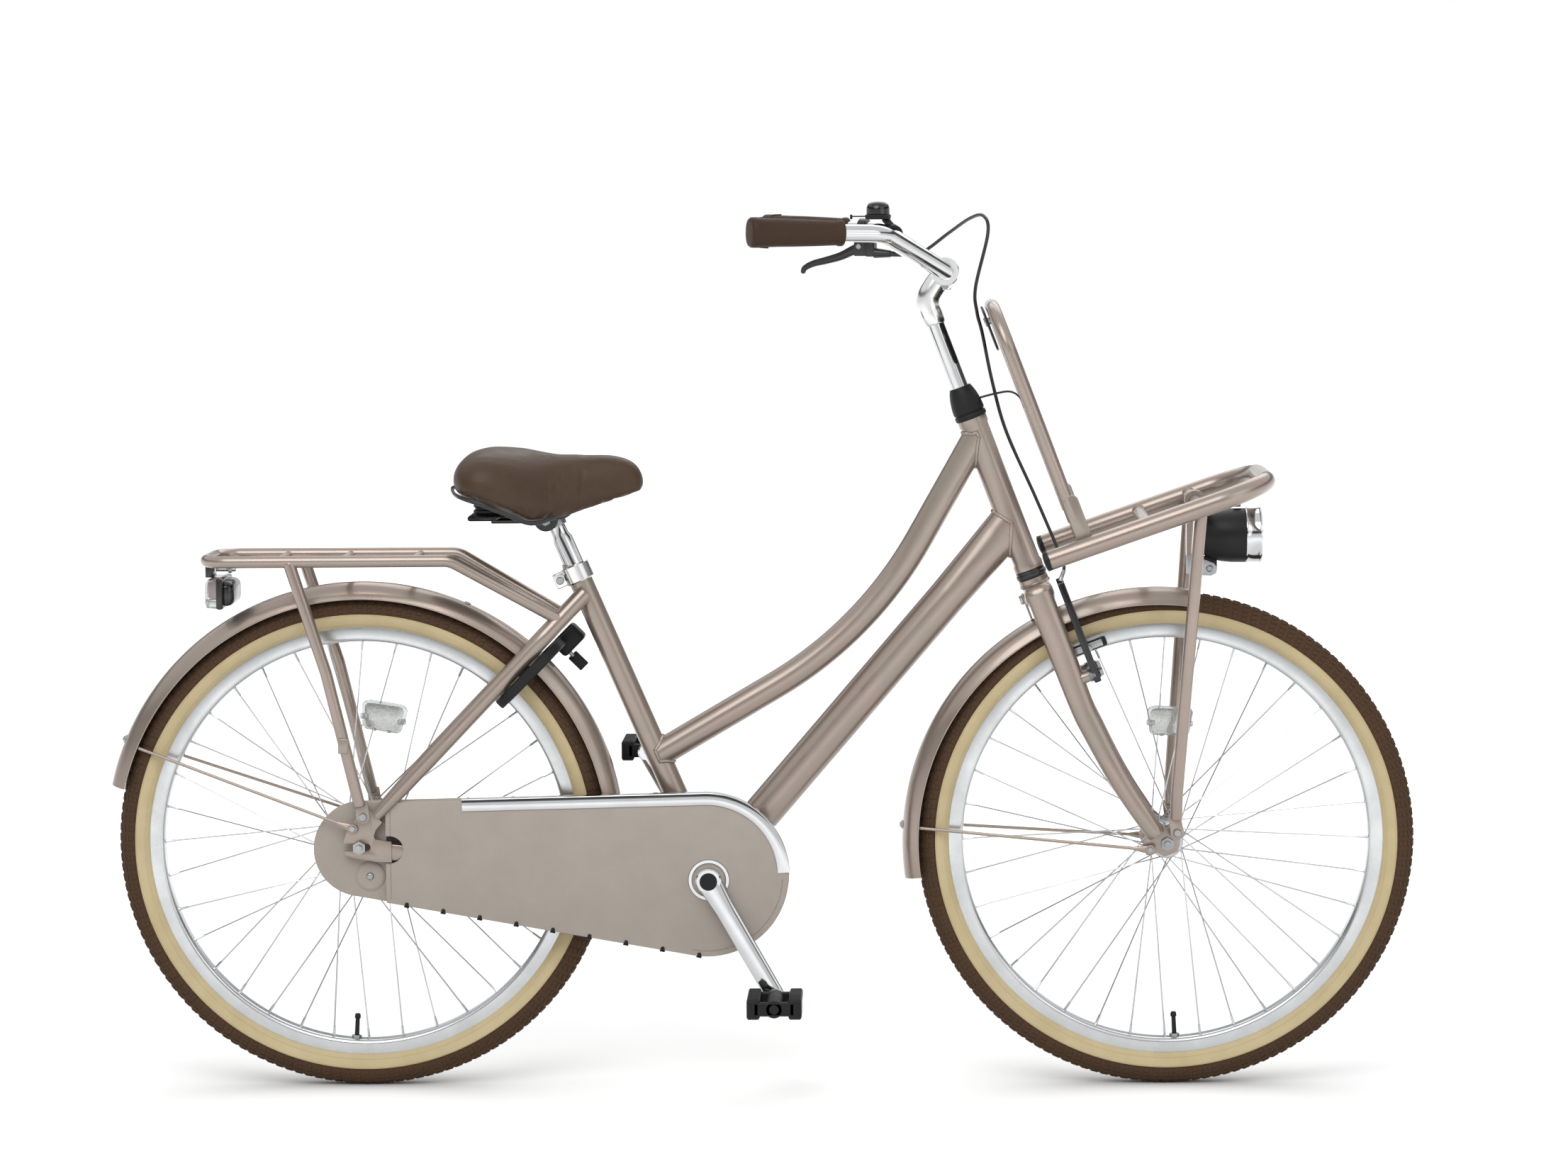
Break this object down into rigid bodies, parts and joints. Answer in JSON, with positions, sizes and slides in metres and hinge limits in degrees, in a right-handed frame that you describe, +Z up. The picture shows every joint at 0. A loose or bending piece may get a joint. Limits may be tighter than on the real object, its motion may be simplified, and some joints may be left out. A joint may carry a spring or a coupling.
{
  "type": "bicycle",
  "caption": "Step-through city bicycle with a curved top tube, a cloth chaincase, mudguards, a rear carrier and a front carrier with a tall backrest hoop.",
  "frame": {"origin": "centre of the bounding box's length and width, on the ground under the tyres", "axes": "+X forward along the bicycle, +Y to the rider's left, +Z up; the drive side faces -Y"},
  "size_m": [1.7206, 0.5976, 1.165],
  "materials": {
    "frame_paint": "satin warm grey paint with a fine metallic grain",
    "chrome": "polished",
    "alloy": "satin anodised",
    "steel": "plain zinc plate",
    "black_plastic": "moulded, lightly grained",
    "pedal_plastic": "moulded, grained tread",
    "black_metal": "black enamel",
    "brown_rubber": "moulded, ribbed",
    "brown_tyre": "moulded tread",
    "brown_cover": "stitched vinyl cover over foam",
    "case_cloth": "coated cloth"
  },
  "bodies": {
    "frame": {"head_tube": "frame_paint", "top_tube": "frame_paint", "down_tube": "frame_paint", "seat_tube": "frame_paint", "chainstays": "frame_paint", "seat_stays": "frame_paint", "bottom_bracket_cartridge": "steel", "headset_lower_cup": "black_metal", "seat_clamp": "alloy", "rear_mudguard": "frame_paint", "rear_mudguard_stay": "chrome", "rear_rack": "frame_paint", "rear_light": "black_plastic", "chaincase": "case_cloth", "chaincase_rear_cap": "case_cloth", "chaincase_trim": "chrome", "chain": "steel", "ring_lock_housing": "black_plastic", "rear_axle": "steel", "coaster_brake_arm": "steel"},
    "steering": {"fork": "frame_paint", "stem": "alloy", "handlebar": "chrome", "left_grip": "brown_rubber", "right_grip": "brown_rubber", "headset_boot": "black_plastic", "front_rack": "frame_paint", "front_rack_backrest": "frame_paint", "front_rack_strap": "black_plastic", "front_mudguard": "frame_paint", "front_mudguard_stay": "chrome", "brake_cable": "black_plastic", "brake_lever_perch": "black_metal", "bell": "black_plastic", "headlamp_bracket": "black_metal", "front_axle": "steel"},
    "front_wheel": {"front_hub_and_spokes": "steel", "front_rim": "alloy", "front_tyre": "brown_tyre"},
    "rear_wheel": {"rear_hub_and_spokes": "steel", "rear_rim": "alloy", "rear_tyre": "brown_tyre", "rear_sprocket": "steel"},
    "crankset": {"bottom_bracket_spindle": "steel", "right_crank": "chrome", "left_crank": "chrome"},
    "right_pedal": {"right_pedal": "pedal_plastic"},
    "left_pedal": {"left_pedal": "pedal_plastic"},
    "brake_lever": {"brake_lever": "black_metal"},
    "brake_arm_left": {"brake_arm_left": "black_metal"},
    "brake_arm_right": {"brake_arm_right": "black_metal"},
    "bell_lever": {"bell_lever": "black_plastic"},
    "headlamp": {"headlamp": "black_plastic"},
    "headlamp_button": {"headlamp_button": "black_plastic"},
    "seatpost": {"seatpost": "chrome"},
    "saddle": {"saddle_base": "black_metal", "saddle_cushion": "brown_cover"},
    "lock_bow": {"lock_bow": "steel"},
    "lock_key": {"lock_key": "steel"},
    "kickstand": {"kickstand": "alloy"}
  },
  "joints": [
    {"name": "steering_turn", "type": "hinge", "parent": "frame", "child": "steering", "pos_m": [0.49641, 0, 0.31236], "axis": [-0.3535, 0, 0.9354], "range_deg": [-60, 60]},
    {"name": "front_wheel_spin", "type": "hinge", "parent": "steering", "child": "front_wheel", "pos_m": [0.53383, 0, 0.3265], "axis": [0, 1, 0], "continuous": true},
    {"name": "rear_wheel_spin", "type": "hinge", "parent": "frame", "child": "rear_wheel", "pos_m": [-0.52417, 0, 0.3265], "axis": [0, 1, 0], "continuous": true},
    {"name": "crank_turn", "type": "hinge", "parent": "frame", "child": "crankset", "pos_m": [-0.06617, 0, 0.2813], "axis": [0, 1, 0], "continuous": true},
    {"name": "right_pedal_spin", "type": "hinge", "parent": "crankset", "child": "right_pedal", "pos_m": [0.02133, -0.131, 0.12975], "axis": [0, 1, 0], "continuous": true},
    {"name": "left_pedal_spin", "type": "hinge", "parent": "crankset", "child": "left_pedal", "pos_m": [-0.15367, 0.131, 0.43285], "axis": [0, 1, 0], "continuous": true},
    {"name": "brake_lever_pull", "type": "hinge", "parent": "steering", "child": "brake_lever", "pos_m": [0.13433, 0.236, 1.104], "axis": [0.3198, 0.9475, 0], "range_deg": [0, 20], "stiffness_Nm_per_rad": 2, "springref_deg": -2.86},
    {"name": "brake_arm_left_close", "type": "hinge", "parent": "steering", "child": "brake_arm_left", "pos_m": [0.43554, 0.041, 0.54699], "axis": [0.9354, 0, 0.3535], "range_deg": [0, 3.4]},
    {"name": "brake_arm_right_close", "type": "hinge", "parent": "steering", "child": "brake_arm_right", "pos_m": [0.43554, -0.041, 0.54699], "axis": [0.9354, 0, 0.3535], "range_deg": [-3.4, 0]},
    {"name": "bell_lever_push", "type": "hinge", "parent": "steering", "child": "bell_lever", "pos_m": [0.15883, 0.208, 1.1446], "axis": [0, 0, 1], "range_deg": [0, 25], "stiffness_Nm_per_rad": 0.05, "springref_deg": -11.46},
    {"name": "headlamp_tilt", "type": "hinge", "parent": "steering", "child": "headlamp", "pos_m": [0.59183, 0, 0.683], "axis": [0, 1, 0], "range_deg": [-6, 8]},
    {"name": "headlamp_button_press", "type": "slide", "parent": "headlamp", "child": "headlamp_button", "axis": [0, 0, -1], "range_m": [0, 0.002], "stiffness_N_per_m": 300, "springref_m": -0.002},
    {"name": "seatpost_slide", "type": "slide", "parent": "frame", "child": "seatpost", "axis": [-0.3955, 0, 0.9184], "range_m": [-0.03, 0.12]},
    {"name": "saddle_tilt", "type": "hinge", "parent": "seatpost", "child": "saddle", "pos_m": [-0.27717, 0, 0.752], "axis": [0, 1, 0], "range_deg": [-10, 10]},
    {"name": "lock_bow_turn", "type": "hinge", "parent": "frame", "child": "lock_bow", "pos_m": [-0.30394, 0, 0.5475], "axis": [-0.7083, 0, 0.7059], "range_deg": [0, 80]},
    {"name": "lock_key_turn", "type": "hinge", "parent": "frame", "child": "lock_key", "pos_m": [-0.26582, 0.034, 0.58575], "axis": [-0.7083, 0, 0.7059], "range_deg": [0, 90]},
    {"name": "kickstand_fold", "type": "hinge", "parent": "frame", "child": "kickstand", "pos_m": [-0.14017, 0.038, 0.2638], "axis": [0, -1, 0], "range_deg": [0, 100]}
  ],
  "couplings": [
    {"joint": "crank_turn", "follows": "rear_wheel_spin", "ratio": 0.47368},
    {"joint": "brake_arm_left_close", "follows": "brake_lever_pull", "ratio": 0.17},
    {"joint": "brake_arm_right_close", "follows": "brake_lever_pull", "ratio": -0.17}
  ]
}
